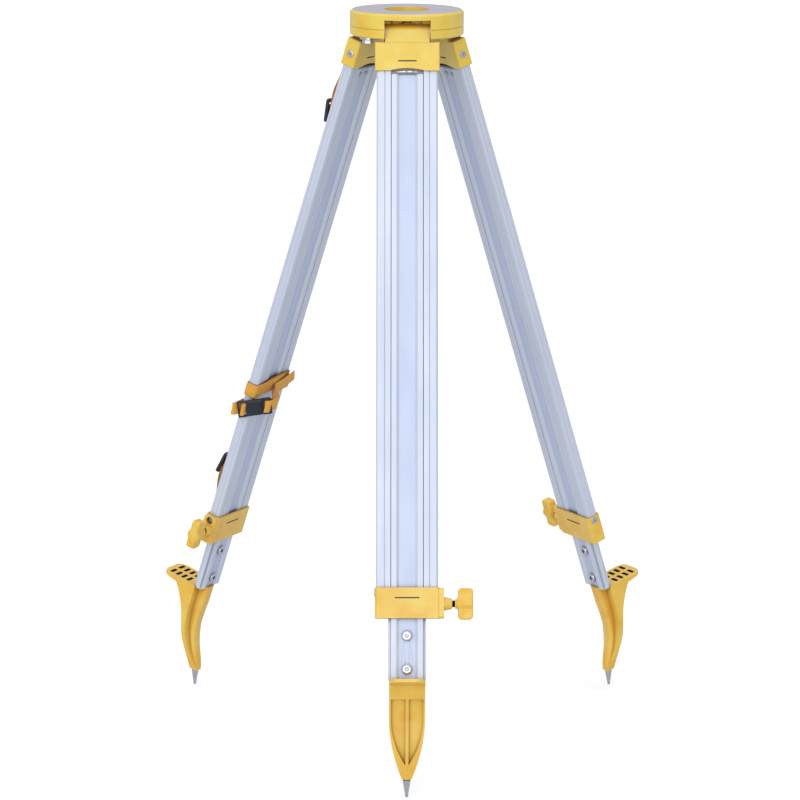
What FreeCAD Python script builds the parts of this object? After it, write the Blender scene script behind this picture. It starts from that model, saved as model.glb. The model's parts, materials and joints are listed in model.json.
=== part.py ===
import FreeCAD, Part
import os
from math import cos, sin, radians

# Aluminium surveyor's tripod, standing with its legs retracted and spread.
# Millimetres, +Z up. The origin is the centre of the head's flat top, and one leg points to -Y.
# A station is a distance down a leg from its hinge axis.

# ---- Fits ----
PIN_FIT = 0.05           # radial running clearance of pins, bushes and screws
SEAT_GAP = 0.1           # clearance between faces that only seat against each other
SLIDE_GAP = 0.3          # clearance of the lower leg's tongues in the rails
COLLAR_GAP = 0.4         # clearance of the lower leg in the collar

# ---- Head ----
HEAD_R = 80.0            # outside radius of the head casting
FACE_R = 76.5            # flat machined face inside the sloping rim
RIM_DROP = 3.0           # height of the sloping rim
HOLE_R = 32.0            # centre hole that the fixing screw moves in
PLATE_T = 8.5            # thickness of the top plate
HEAD_H = 35.0            # plate and skirt together
SKIRT_IN_R = 74.0        # inside radius of the skirt
SKIRT_CHAMFER = 1.5
GROOVE_Z = -22.4         # line around the skirt
GROOVE_D = 1.0           # depth and half height of that line
NOTCH_HALF = 32.0        # half width of each leg's notch
CHEEK_T = 6.5            # hinge cheeks on both sides of a notch
CHEEK_IN_R = 40.0        # how far in the cheeks reach

# ---- Leg hinge and lean ----
HINGE_R = 53.6           # distance of each hinge axis from the centre line
HINGE_Z = -26.5
LEAN = 18.5              # degrees each leg leans out from vertical
LEG_AZ = {"front": -90.0, "right": 30.0, "left": 150.0}
PIN_R = 5.0
PIN_HEAD_R = 7.0
PIN_HEAD_H = 3.0
WASHER_R = 15.8
WASHER_T = 1.0

# ---- Centring arm and fixing screw, under the head ----
ARM_AZ = -150.0          # azimuth of the arm's pivot, between two legs
ARM_PIVOT_R = 63.5
ARM_BOSS_R = 9.0
ARM_BOLT_R = 4.0
ARM_BOLT_HEX_R = 7.5
ARM_BOLT_HEAD_H = 5.0
ARM_TOP = -35.4
ARM_T = 4.0
ARM_HALF = 13.0
ARM_CORNER = 8.9
ARM_REACH = 36.0         # how far the arm passes the centre
SLOT_HALF = 7.5
SCREW_TRAVEL = 16.0      # carrier travel each way along the arm
CARRIER_R = 12.5
CARRIER_TOP = -18.0
CARRIER_FLANGE = 3.0
CARRIER_NECK_CORNER = 2.0
FIX_R = 7.94             # 5/8 inch thread
FIX_TOP = -3.0
FIX_CHAMFER = 1.2
FIX_SHANK_R = 5.5
THRUST_R = 14.0
THRUST_T = 2.0
FIX_KNOB_R = 21.0
FIX_KNOB_TOP = -59.0
FIX_KNOB_END = -84.0
FIX_KNOB_FLOOR = 6.0     # solid end of the knob below the screw
FIX_KNOB_ROUND = 2.5
FLUTES = 12
FLUTE_R = 3.6
FLUTE_OUT = 2.0          # the flute centres lie this far outside the knob
HOOK_WIRE_R = 1.25
HOOK_BEND_R = 5.0
HOOK_STEM = 6.0
HOOK_TURN = 235.0        # degrees of the hook's bend

# ---- Hinge block ----
TENON_HALF = 30.9
TENON_R = 11.0
BLOCK_HALF = 44.8
BLOCK_T = 22.0
BLOCK_TOP = 16.2         # stations of the block's ends
BLOCK_END = 56.5
BLOCK_ROUND = 2.0
ARCH_HALF = 24.0         # half width and rise of the arch under the block
ARCH_RISE = 3.5
BLOCK_LINE_HALF = 13.0   # half length and station of the shallow line on each face
BLOCK_LINE_AT = 43.0
LINE_HALF_W = 1.0
LINE_END_R = 0.9

# ---- Rails and their screws ----
RAIL_OUT = 42.5          # half width over both rails
RAIL_IN = 22.6
RAIL_T = 16.6
RAIL_TOP = 26.0          # station where the rails begin inside the block
RAIL_CORNER = 3.5
WALL = 1.5
CREASE_U = 30.9          # V-shaped crease along the rail faces
CREASE_D = 0.8
RAIL_FIT = 0.1           # glued fit of the rails in their castings
RAIL_SCREW_R = 3.0
RAIL_SCREW_L = 6.0       # how deep the shank reaches below the rail's side
RAIL_HEAD_R = 5.2
RAIL_HEAD_H = 1.0
RAIL_HEAD_ROUND = 0.6
BLOCK_SCREW_AT = 38.0

# ---- Clamp at the foot of the upper leg ----
COLLAR_TOP = 772.6       # stations of the collar's ends
COLLAR_END = 814.6
COLLAR_NEAR = 45.2       # half width of the collar body on the screw side
COLLAR_FAR = 43.8
COLLAR_T = 22.6
COLLAR_ROUND = 4.0
COLLAR_POCKET = 14.0     # depth that the rails enter the collar
COLLAR_SCREW_AT = 779.2
COLLAR_LINE_AT = 786.6
COLLAR_LINE_HALF = 17.0
BOSS_PLATE = 50.6        # outside of the flat pad under the screw boss
BOSS_HALF = 10.2
BOSS_MARGIN = 0.4
BOSS_CORNER = 3.0
BOSS_ROOT_R = 9.4
BOSS_TIP_R = 7.2
BOSS_TIP = 61.5
SCREW_ACCESS_R = 5.4     # counterbore that lets a driver reach the rail screw
BORE_END = 36.5          # the pad's bore ends here and the screw's hole begins
CLAMP_AT = 794.4         # station of the clamp screw's axis
CLAMP_R = 5.0
CLAMP_PIN_R = 3.0        # reduced tip that turns in the pad
CLAMP_PIN_L = 4.0
PAD_R = 6.5
PAD_GAP = 0.02
PAD_TO = 34.0
KNOB_FROM = 69.7
KNOB_TO = 90.2
KNOB_NECK_R = 6.6
KNOB_NECK_GAP = 4.0
KNOB_HUB_R = 9.3
KNOB_FLOOR = 6.0
WING_HALF_T = 6.5
WING_HALF_L = 21.5
WING_CORNER = 5.0
WING_ROUND = 2.0

# ---- Lower leg ----
LOWER_HALF = 21.9
LOWER_T = 16.0
LOWER_TOP = 60.9         # station where the extrusion starts below its top guide
TONGUE_W = 6.0           # tongue on each edge of the lower leg, running in the rails
TONGUE_D = 4.0
CHANNEL_HALF = 14.6      # shallow channel along the broad faces
CHANNEL_FLOOR = 11.2
CHANNEL_D = 2.6
CHANNEL_WALL = 0.8
GUIDE_TOP = 58.4
GUIDE_SCREW_AT = 70.5
GUIDE_SCREW_U = 8.3
GUIDE_SCREW_R = 1.6
GUIDE_HEAD_R = 2.7
GUIDE_HEAD_H = 2.0
PLUG_HALF_U = 19.4       # section of the plugs in both ends of the extrusion
PLUG_HALF_V = 3.4
PLUG_L = 24.0
LEG_BOLTS_AT = (838.1, 883.9)
LEG_BOLT_R = 3.0
LEG_BOLT_HEAD_R = 7.2
LEG_BOLT_HEAD_H = 3.6
LEG_BOLT_ROUND = 1.8

# ---- Shoe and steel point ----
SHOE_TOP = 898.9         # stations of the shoe's top and mouth, and of the steel tip
STEEL_TOP = 1032.9
TIP = 1056.0
TIP_IN = 29.0            # the tip lies this far inside the leg's mid-plane
MOUTH_IN = 22.5          # and the shoe's mouth this far
TANG_TOP = 825.4
TANG_ROOT = 4.0
SHOE_HALF = 24.4
MOUTH_HALF = 6.4
PEDAL_REACH = 64.0       # how far the tread stands out from the leg's mid-plane
PEDAL_EDGE = 4.4         # thickness of the tread at its tip
PEDAL_CORNER = 13.0
TREAD_ROWS = 4
TREAD_FIRST = 8.0        # distance of the first slot from the tread's tip
TREAD_PITCH = 10.0
TREAD_W = 5.4
TREAD_D = 3.2
TREAD_IN = 3.2           # each slot runs between these half widths
TREAD_OUT = 19.0
TREAD_CORNER = 2.3
SPINE_HALF = 10.5        # half width of the rounded spine behind the plate
SPINE_ROUND = 5.5
PLATE_FACE = -5.5
SPINE_FACE = 9.5
POCKET_RIM = 2.4         # frame left around the pockets in the shoe's front
POCKET_TOP = 16.5        # the pockets start and end this far from the casting's ends
POCKET_END = 20.0
POCKET_TIP_HALF = 3.0
POCKET_D = 4.5
POCKET_TO = -25.5        # the pockets end here, below the tread
RIB_HALF = 2.2
SHOE_DROP = STEEL_TOP - SHOE_TOP
OUTER_CURVE = [(-38.0, 8.0), (-24.0, 29.0), (-13.5, 54.0), (-4.5, 86.0), (5.0, 107.0), (16.0, SHOE_DROP)]
PLATE_BACK = [(28.5, SHOE_DROP), (20.0, 119.0), (9.5, 103.0), (1.5, 84.0), (-4.0, 60.0), (-5.5, 30.0)]
SPINE_BACK = [(28.5, SHOE_DROP), (24.0, 118.0), (18.0, 105.0), (10.5, 86.0), (7.5, 66.0), (9.0, 30.0)]
POINT_R = 5.6
POINT_END_R = 1.6
POINT_ROUND = 1.0
POINT_SHANK_R = 4.0
POINT_SHANK_L = 22.0

# ---- Straps on the left leg ----
WEB_T = 2.0              # webbing thickness
WEB_W = 20.0
WEB_ROOM = 0.6           # room beside the webbing in a slot
STRAP_W = 38.0
STRAP_CLEAR = 0.4        # air between a strap and what it lies on
LOOP_AT = (565.0, 587.4) # stations of the binding strap's two turns
LOOP_IN_R = 3.0
BUCKLE_L = 50.0
BUCKLE_W = 24.5
BUCKLE_T = 8.0
BUCKLE_TURN = 53.0       # degrees the buckle is turned from lying flat on the inner face
BUCKLE_TILT = 22.0       # degrees its plug end is raised
BUCKLE_U = 43.5
BUCKLE_V = 14.3
SOCKET_FROM = -11.0
SOCKET_TO = 11.0
SOCKET_DEPTH = 8.0
SOCKET_WALL = 1.6
PRONG_TO = 6.5
PRONG_W = 4.0
PRONGS_AT = (-8.6, -2.0, 4.6)
PLUG_WINDOW = (-21.5, -15.0)
SLIDER_L = 34.0
SLIDER_T = 4.5
SLIDER_RIM = 4.0
SLIDER_WINDOW = 7.5      # distance of the windows' middles from the slider's middle
SLIDER_WINDOW_HALF = 4.6
SLIDERS = [(136.0, 19.9, 10.0), (701.0, 21.5, -11.1)]  # station, distance outward, tilt in degrees
ANCHOR_HALF_L = 10.0
ANCHOR_RIM = 5.0
ANCHOR_FACES = (-13.4, -11.5)
ANCHOR_SLOT = (-7.5, -1.0)
ANCHORS_AT = (48.5, 783.5)
STRAP_PATH = [(-14.0, -60.0), (-22.0, -108.0), (-13.6, -158.0), (-13.6, -320.0), (-13.6, -674.0),
              (-23.0, -722.0), (-14.0, -771.0)]


def box(x0, x1, y0, y1, z0, z1):
    return Part.makeBox(x1 - x0, y1 - y0, z1 - z0, FreeCAD.Vector(x0, y0, z0))


def cylinder(radius, start, end):
    start = FreeCAD.Vector(*start)
    along = FreeCAD.Vector(*end) - start
    return Part.makeCylinder(radius, along.Length, start, along)


def ring(outer, inner, start, end):
    return cylinder(outer, start, end).cut(cylinder(inner, start, end))


def prism(points, plane, start, end):
    """Extrude a closed outline given in the named plane along the remaining axis."""
    place = {"xy": lambda a, b: (a, b, start), "xz": lambda a, b: (a, start, b),
             "yz": lambda a, b: (start, a, b)}[plane]
    along = {"xy": (0, 0, 1), "xz": (0, 1, 0), "yz": (1, 0, 0)}[plane]
    corners = [FreeCAD.Vector(*place(a, b)) for a, b in points]
    face = Part.Face(Part.makePolygon(corners + corners[:1]))
    return face.extrude(FreeCAD.Vector(*along) * (end - start))


def rounded_box(x0, x1, y0, y1, z0, z1, radius, axis="z"):
    """Box with the four edges along the given axis rounded."""
    solid = box(x0, x1, y0, y1, z0, z1)
    pick = {"x": 0, "y": 1, "z": 2}[axis]
    chosen = []
    for edge in solid.Edges:
        a, b = (v.Point for v in edge.Vertexes)
        if abs((b - a)[pick]) > 0.99 * (b - a).Length:
            chosen.append(edge)
    return solid.makeFillet(radius, chosen)


def domed_disc(radius, height, rounding, base, outward):
    """Screw head: a disc standing on base along outward, with its outer rim rounded."""
    base, outward = FreeCAD.Vector(*base), FreeCAD.Vector(*outward)
    disc = Part.makeCylinder(radius, height, base, outward)
    crown = [e for e in disc.Edges if (e.BoundBox.Center - base).dot(outward) > 0.9 * height]
    return disc.makeFillet(rounding, crown)


def mirrored_x(shape):
    return shape.mirror(FreeCAD.Vector(0, 0, 0), FreeCAD.Vector(1, 0, 0))


def save(name, shape):
    shape.exportStep(os.path.join("parts", name + ".step"))


def around(shape, azimuth):
    """Turn a shape built for the -Y leg to another leg's azimuth."""
    turned = shape.copy()
    turned.rotate(FreeCAD.Vector(0, 0, 0), FreeCAD.Vector(0, 0, 1), azimuth + 90.0)
    return turned


def on_leg(shape, azimuth):
    """Place a shape from the leg's own frame: hinge axis at its origin, +Y inward, leg down -Z."""
    leaned = shape.copy()
    leaned.rotate(FreeCAD.Vector(0, 0, 0), FreeCAD.Vector(1, 0, 0), -LEAN)
    leaned.translate(FreeCAD.Vector(0, -HINGE_R, HINGE_Z))
    return around(leaned, azimuth)


# ---- Head parts ----

def head():
    outline = [(0, 0), (FACE_R, 0), (HEAD_R, -RIM_DROP), (HEAD_R, GROOVE_Z + GROOVE_D),
               (HEAD_R - GROOVE_D, GROOVE_Z), (HEAD_R, GROOVE_Z - GROOVE_D),
               (HEAD_R, SKIRT_CHAMFER - HEAD_H), (HEAD_R - SKIRT_CHAMFER, -HEAD_H), (0, -HEAD_H)]
    corners = [FreeCAD.Vector(r, 0, z) for r, z in outline]
    face = Part.Face(Part.makePolygon(corners + corners[:1]))
    casting = face.revolve(FreeCAD.Vector(0, 0, 0), FreeCAD.Vector(0, 0, 1), 360)
    casting = casting.cut(cylinder(HOLE_R, (0, 0, 1), (0, 0, -HEAD_H - 1)))
    hollow = cylinder(SKIRT_IN_R, (0, 0, -PLATE_T), (0, 0, -HEAD_H - 1))
    cheek_end = NOTCH_HALF + CHEEK_T
    for azimuth in LEG_AZ.values():
        for side in (-1, 1):
            near, far = sorted((side * NOTCH_HALF, side * cheek_end))
            cheek = box(near, far, -HEAD_R, -CHEEK_IN_R, -HEAD_H - 1, -PLATE_T)
            hollow = hollow.cut(around(cheek, azimuth))
    boss = cylinder(ARM_BOSS_R, (0, 0, -PLATE_T), (0, 0, -HEAD_H - 1))
    boss.translate(arm_pivot())
    casting = casting.cut(hollow.cut(boss))
    for azimuth in LEG_AZ.values():
        notch = box(-NOTCH_HALF, NOTCH_HALF, -HEAD_R - 1, -CHEEK_IN_R, -HEAD_H - 1, -PLATE_T)
        bore = cylinder(PIN_R, (-cheek_end - 1, -HINGE_R, HINGE_Z), (cheek_end + 1, -HINGE_R, HINGE_Z))
        casting = casting.cut(around(notch, azimuth)).cut(around(bore, azimuth))
    pivot_hole = cylinder(ARM_BOLT_R, (0, 0, -PLATE_T), (0, 0, -HEAD_H - 1))
    pivot_hole.translate(arm_pivot())
    return casting.cut(pivot_hole)


def hinge_pin():
    """Pin through the two cheeks, with a low head on each end."""
    end = NOTCH_HALF + CHEEK_T
    tip = end + PIN_HEAD_H
    pin = cylinder(PIN_R, (-end, -HINGE_R, HINGE_Z), (end, -HINGE_R, HINGE_Z))
    for side in (-1, 1):
        cap = cylinder(PIN_HEAD_R, (side * end, -HINGE_R, HINGE_Z), (side * tip, -HINGE_R, HINGE_Z))
        pin = pin.fuse(cap)
    return pin.removeSplitter()


def hinge_washers():
    """Friction washers between tenon and cheeks; a flat under the top plate stops them turning."""
    rings = []
    for side in (-1, 1):
        washer = ring(WASHER_R, PIN_R + PIN_FIT, (side * (NOTCH_HALF - WASHER_T), -HINGE_R, HINGE_Z),
                      (side * NOTCH_HALF, -HINGE_R, HINGE_Z))
        rings.append(washer.cut(box(-HEAD_R, HEAD_R, -HEAD_R, 0, -PLATE_T - SEAT_GAP, 0)))
    return rings


# ---- Centring arm and fixing screw ----

def arm_pivot():
    return FreeCAD.Vector(ARM_PIVOT_R * cos(radians(ARM_AZ)), ARM_PIVOT_R * sin(radians(ARM_AZ)), 0)


def along_arm(shape):
    """Place a shape built with the arm pivot at -X and the slot along X."""
    turned = shape.copy()
    turned.rotate(FreeCAD.Vector(0, 0, 0), FreeCAD.Vector(0, 0, 1), ARM_AZ + 180.0)
    return turned


def centring_arm():
    low, high = ARM_TOP - ARM_T - 1, ARM_TOP + 1
    pivot_end = -ARM_PIVOT_R - ARM_BOSS_R
    bar = rounded_box(pivot_end, ARM_REACH, -ARM_HALF, ARM_HALF, ARM_TOP - ARM_T, ARM_TOP, ARM_CORNER)
    slot_end = SCREW_TRAVEL + 2 * SLOT_HALF
    slot = rounded_box(-slot_end, slot_end, -SLOT_HALF, SLOT_HALF, low, high, SLOT_HALF - 0.01)
    hole = cylinder(ARM_BOLT_R + PIN_FIT, (-ARM_PIVOT_R, 0, low), (-ARM_PIVOT_R, 0, high))
    return along_arm(bar.cut(slot).cut(hole))


def arm_bolt():
    bottom = ARM_TOP - ARM_T - SEAT_GAP
    shank = cylinder(ARM_BOLT_R, (0, 0, bottom), (0, 0, -PLATE_T))
    corners = [radians(60 * i) for i in range(6)]
    hexagon = [(ARM_BOLT_HEX_R * cos(a), ARM_BOLT_HEX_R * sin(a)) for a in corners]
    bolt = shank.fuse(prism(hexagon, "xy", bottom - ARM_BOLT_HEAD_H, bottom)).removeSplitter()
    bolt.translate(arm_pivot())
    return bolt


def screw_carrier():
    """Bush that slides in the arm's slot and lets the fixing screw turn and lift."""
    bottom = ARM_TOP - ARM_T
    under, over = bottom - SEAT_GAP, ARM_TOP + SEAT_GAP
    half = SLOT_HALF - PIN_FIT
    neck = rounded_box(-half, half, -half, half, bottom, ARM_TOP, CARRIER_NECK_CORNER)
    flange = cylinder(CARRIER_R, (0, 0, under - CARRIER_FLANGE), (0, 0, under))
    sleeve = cylinder(CARRIER_R, (0, 0, over), (0, 0, CARRIER_TOP))
    joint_low = cylinder(half, (0, 0, under), (0, 0, bottom))
    joint_top = cylinder(half, (0, 0, ARM_TOP), (0, 0, over))
    bush = neck.fuse([flange, sleeve, joint_low, joint_top])
    bore = cylinder(FIX_SHANK_R + PIN_FIT, (0, 0, FIX_KNOB_TOP), (0, 0, 0))
    return along_arm(bush.cut(bore).removeSplitter())


def fixing_screw():
    """5/8 inch screw: threaded head above the carrier, shank through it into the knob."""
    seat = CARRIER_TOP + SEAT_GAP
    thread = cylinder(FIX_R, (0, 0, seat), (0, 0, FIX_TOP))
    top_edges = [e for e in thread.Edges if abs(e.BoundBox.ZMin - FIX_TOP) < 0.01]
    thread = thread.makeChamfer(FIX_CHAMFER, top_edges)
    shank = cylinder(FIX_SHANK_R, (0, 0, FIX_KNOB_END + FIX_KNOB_FLOOR), (0, 0, seat))
    return thread.fuse(shank).removeSplitter()


def thrust_washer():
    bottom = FIX_KNOB_TOP + SEAT_GAP
    return ring(THRUST_R, FIX_SHANK_R + PIN_FIT, (0, 0, bottom), (0, 0, bottom + THRUST_T))


def fixing_knob():
    """Fluted hand knob on the screw's lower end."""
    body = cylinder(FIX_KNOB_R, (0, 0, FIX_KNOB_END), (0, 0, FIX_KNOB_TOP))
    rims = [e for e in body.Edges if isinstance(e.Curve, Part.Circle)]
    body = body.makeFillet(FIX_KNOB_ROUND, rims)
    reach = FIX_KNOB_R + FLUTE_OUT
    for flute in range(FLUTES):
        angle = radians(360.0 * flute / FLUTES)
        x, y = reach * cos(angle), reach * sin(angle)
        body = body.cut(cylinder(FLUTE_R, (x, y, FIX_KNOB_END - 1), (x, y, FIX_KNOB_TOP + 1)))
    return body.cut(cylinder(FIX_SHANK_R, (0, 0, FIX_KNOB_END + FIX_KNOB_FLOOR), (0, 0, FIX_KNOB_TOP + 1)))


def plumb_hook():
    """Open wire hook under the knob for a plumb line."""
    bend_z = FIX_KNOB_END - HOOK_STEM
    stem = cylinder(HOOK_WIRE_R, (0, 0, bend_z), (0, 0, FIX_KNOB_END))
    circle = Part.makeCircle(HOOK_WIRE_R, FreeCAD.Vector(0, 0, bend_z), FreeCAD.Vector(0, 0, 1))
    section = Part.Face(Part.Wire(circle))
    bend = section.revolve(FreeCAD.Vector(HOOK_BEND_R, 0, bend_z), FreeCAD.Vector(0, 1, 0), -HOOK_TURN)
    return stem.fuse(bend).removeSplitter()


# ---- Upper leg: block, rails and screws ----

def face_line(half_length, station, surface):
    """Shallow line pressed into a casting's broad face, as a shape to cut away."""
    line_box = rounded_box(-half_length, half_length, -LINE_HALF_W, LINE_HALF_W,
                           -station - LINE_HALF_W, -station + LINE_HALF_W, LINE_END_R, "y")
    line_box.translate(FreeCAD.Vector(0, surface, 0))
    return line_box


def rail_pocket(side, play, low, high):
    """Room for a rail's end in a casting."""
    near, far = sorted((side * (RAIL_IN - play), side * (RAIL_OUT + RAIL_FIT)))
    half = RAIL_T / 2 + RAIL_FIT
    return box(near, far, -half, half, low, high)


def hinge_block():
    tenon = cylinder(TENON_R, (-TENON_HALF, 0, 0), (TENON_HALF, 0, 0))
    tenon = tenon.fuse(box(-TENON_HALF, TENON_HALF, -TENON_R, TENON_R, -BLOCK_TOP - 1, 0))
    body = box(-BLOCK_HALF, BLOCK_HALF, -BLOCK_T / 2, BLOCK_T / 2, -BLOCK_END, -BLOCK_TOP)
    edges = [e for e in body.Edges if abs(abs(e.BoundBox.Center.x) - BLOCK_HALF) < 0.01
             or abs(e.BoundBox.Center.z + BLOCK_TOP) < 0.01]
    block = tenon.fuse(body.makeFillet(BLOCK_ROUND, edges)).removeSplitter()
    arch_r = (ARCH_HALF ** 2 + ARCH_RISE ** 2) / (2 * ARCH_RISE)
    arch_z = -BLOCK_END + ARCH_RISE - arch_r
    block = block.cut(cylinder(arch_r, (0, -BLOCK_T, arch_z), (0, BLOCK_T, arch_z)))
    for side in (-1, 1):
        block = block.cut(face_line(BLOCK_LINE_HALF, BLOCK_LINE_AT, side * BLOCK_T / 2))
        block = block.cut(rail_pocket(side, RAIL_FIT, -BLOCK_END - 1, -RAIL_TOP))
        hole_end = side * (BLOCK_HALF + 1)
        hole = cylinder(RAIL_SCREW_R, (side * RAIL_IN, 0, -BLOCK_SCREW_AT), (hole_end, 0, -BLOCK_SCREW_AT))
        block = block.cut(hole)
    return block.cut(cylinder(PIN_R + PIN_FIT, (-BLOCK_HALF, 0, 0), (BLOCK_HALF, 0, 0)))


def rail(side):
    """Hollow extrusion with a groove for the lower leg's tongue."""
    groove_half = TONGUE_W / 2 + SLIDE_GAP
    groove_in = RAIL_IN + TONGUE_D
    half = RAIL_T / 2
    bottom = -COLLAR_TOP - COLLAR_POCKET
    outline = [(RAIL_IN, -half), (CREASE_U - CREASE_D, -half), (CREASE_U, CREASE_D - half),
               (CREASE_U + CREASE_D, -half), (RAIL_OUT, -half), (RAIL_OUT, half),
               (CREASE_U + CREASE_D, half), (CREASE_U, half - CREASE_D), (CREASE_U - CREASE_D, half),
               (RAIL_IN, half), (RAIL_IN, groove_half), (groove_in, groove_half),
               (groove_in, -groove_half), (RAIL_IN, -groove_half)]
    solid = prism(outline, "xy", bottom, -RAIL_TOP)
    corners = [e for e in solid.Edges if e.Length > 500 and abs(e.BoundBox.Center.x - RAIL_OUT) < 0.01]
    solid = solid.makeFillet(RAIL_CORNER, corners)
    inner_x = groove_in + WALL
    inner_y = half - WALL - CREASE_D
    hollow = rounded_box(inner_x, RAIL_OUT - WALL, -inner_y, inner_y, bottom - 1, 1 - RAIL_TOP, WALL)
    solid = solid.cut(hollow)
    for station in (BLOCK_SCREW_AT, COLLAR_SCREW_AT):
        hole = cylinder(RAIL_SCREW_R, (inner_x + 1, 0, -station), (RAIL_OUT + 1, 0, -station))
        solid = solid.cut(hole)
    return solid if side > 0 else mirrored_x(solid)


def rail_screws():
    """Pan-head screws through the block's and collar's sides into the rails."""
    screws = []
    for side, collar_side in ((-1, COLLAR_FAR), (1, COLLAR_NEAR)):
        for station, surface in ((BLOCK_SCREW_AT, BLOCK_HALF), (COLLAR_SCREW_AT, collar_side)):
            start, seat = side * (RAIL_OUT - RAIL_SCREW_L), side * surface
            shank = cylinder(RAIL_SCREW_R, (start, 0, -station), (seat, 0, -station))
            pan = domed_disc(RAIL_HEAD_R, RAIL_HEAD_H, RAIL_HEAD_ROUND, (seat, 0, -station), (side, 0, 0))
            screws.append(shank.fuse(pan).removeSplitter())
    return screws


# ---- Clamp ----

def clamp_bore(radius, start, end):
    return cylinder(radius, (start, 0, -CLAMP_AT), (end, 0, -CLAMP_AT))


def clamp_collar():
    top, bottom, half = -COLLAR_TOP, -COLLAR_END, COLLAR_T / 2
    body = rounded_box(-COLLAR_FAR, COLLAR_NEAR, -half, half, bottom, top, COLLAR_ROUND)
    pad = rounded_box(COLLAR_NEAR - COLLAR_ROUND - 1, BOSS_PLATE, -BOSS_HALF, BOSS_HALF,
                      bottom + BOSS_MARGIN, top - BOSS_MARGIN, BOSS_CORNER, "x")
    cone = Part.makeCone(BOSS_ROOT_R, BOSS_TIP_R, BOSS_TIP - BOSS_PLATE,
                         FreeCAD.Vector(BOSS_PLATE, 0, -CLAMP_AT), FreeCAD.Vector(1, 0, 0))
    collar = body.fuse([pad, cone]).removeSplitter()
    core, core_y = LOWER_HALF + COLLAR_GAP, LOWER_T / 2 + COLLAR_GAP
    collar = collar.cut(box(-core, core, -core_y, core_y, bottom - 1, top + 1))
    tongue, groove = core + TONGUE_D, TONGUE_W / 2 + SLIDE_GAP
    collar = collar.cut(box(-tongue, tongue, -groove, groove, bottom - 1, top + 1))
    for side in (-1, 1):
        collar = collar.cut(rail_pocket(side, COLLAR_GAP, top - COLLAR_POCKET, top + 1))
        start, end = (side * reach for reach in (RAIL_OUT, BOSS_PLATE + 1))
        hole = cylinder(RAIL_SCREW_R, (start, 0, -COLLAR_SCREW_AT), (end, 0, -COLLAR_SCREW_AT))
        collar = collar.cut(hole)
        collar = collar.cut(face_line(COLLAR_LINE_HALF, COLLAR_LINE_AT, side * half))
    access_end = (BOSS_PLATE + 1, 0, -COLLAR_SCREW_AT)
    collar = collar.cut(cylinder(SCREW_ACCESS_R, (COLLAR_NEAR, 0, -COLLAR_SCREW_AT), access_end))
    collar = collar.cut(clamp_bore(PAD_R + PIN_FIT, LOWER_HALF, BORE_END))
    return collar.cut(clamp_bore(CLAMP_R + PIN_FIT, BORE_END - 1, BOSS_TIP + 1))


def pressure_pad():
    pad = clamp_bore(PAD_R, LOWER_HALF + TONGUE_D + PAD_GAP, PAD_TO)
    return pad.cut(clamp_bore(CLAMP_PIN_R + PIN_FIT, PAD_TO - CLAMP_PIN_L - SEAT_GAP, PAD_TO + 1))


def clamp_screw():
    tip = clamp_bore(CLAMP_PIN_R, PAD_TO - CLAMP_PIN_L, PAD_TO + SEAT_GAP)
    shank = clamp_bore(CLAMP_R, PAD_TO + SEAT_GAP / 2, KNOB_TO - KNOB_FLOOR)
    return tip.fuse(shank).removeSplitter()


def clamp_knob():
    """Hub with two flat wings that narrow where they meet it."""
    hub = cylinder(KNOB_NECK_R, (BOSS_TIP + KNOB_NECK_GAP, 0, 0), (KNOB_FROM, 0, 0))
    hub = hub.fuse(cylinder(KNOB_HUB_R, (KNOB_FROM - 1.0, 0, 0), (KNOB_TO - 1.5, 0, 0)))
    wing = rounded_box(KNOB_FROM, KNOB_TO, -WING_HALF_T, WING_HALF_T, -WING_HALF_L, WING_HALF_L,
                       WING_CORNER, "y")
    edges = [e for e in wing.Edges if abs(abs(e.BoundBox.Center.y) - WING_HALF_T) < 0.01]
    knob = hub.fuse(wing.makeFillet(WING_ROUND, edges)).removeSplitter()
    knob = knob.cut(cylinder(CLAMP_R, (0, 0, 0), (KNOB_TO - KNOB_FLOOR, 0, 0)))
    knob.translate(FreeCAD.Vector(0, 0, -CLAMP_AT))
    return knob


# ---- Lower leg ----

def mirror_quarter(points):
    """Complete a section that is symmetric about both axes from its first quarter."""
    half = points + [(-x, y) for x, y in reversed(points)]
    return half + [(-x, -y) for x, y in half]


def lower_leg():
    """Hollow extrusion: tongue on each edge, shallow channel along each broad face."""
    half, floor_y = LOWER_T / 2, LOWER_T / 2 - CHANNEL_D
    quarter = [(LOWER_HALF + TONGUE_D, TONGUE_W / 2), (LOWER_HALF, TONGUE_W / 2), (LOWER_HALF, half),
               (CHANNEL_HALF, half), (CHANNEL_FLOOR, floor_y)]
    bar = prism(mirror_quarter(quarter), "xy", -SHOE_TOP, -LOWER_TOP)
    side, deep, shallow = LOWER_HALF - WALL, half - WALL, floor_y - WALL
    hollow = [(side, deep), (CHANNEL_HALF + CHANNEL_WALL, deep), (CHANNEL_FLOOR + CHANNEL_WALL, shallow)]
    bar = bar.cut(prism(mirror_quarter(hollow), "xy", -SHOE_TOP - 1, 1 - LOWER_TOP))
    for station in LEG_BOLTS_AT:
        bar = bar.cut(cylinder(LEG_BOLT_R, (0, -LOWER_T, -station), (0, LOWER_T, -station)))
    for side in (-1, 1):
        u = side * GUIDE_SCREW_U
        bar = bar.cut(cylinder(GUIDE_SCREW_R, (u, 0, -GUIDE_SCREW_AT), (u, LOWER_T, -GUIDE_SCREW_AT)))
    return bar


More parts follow.
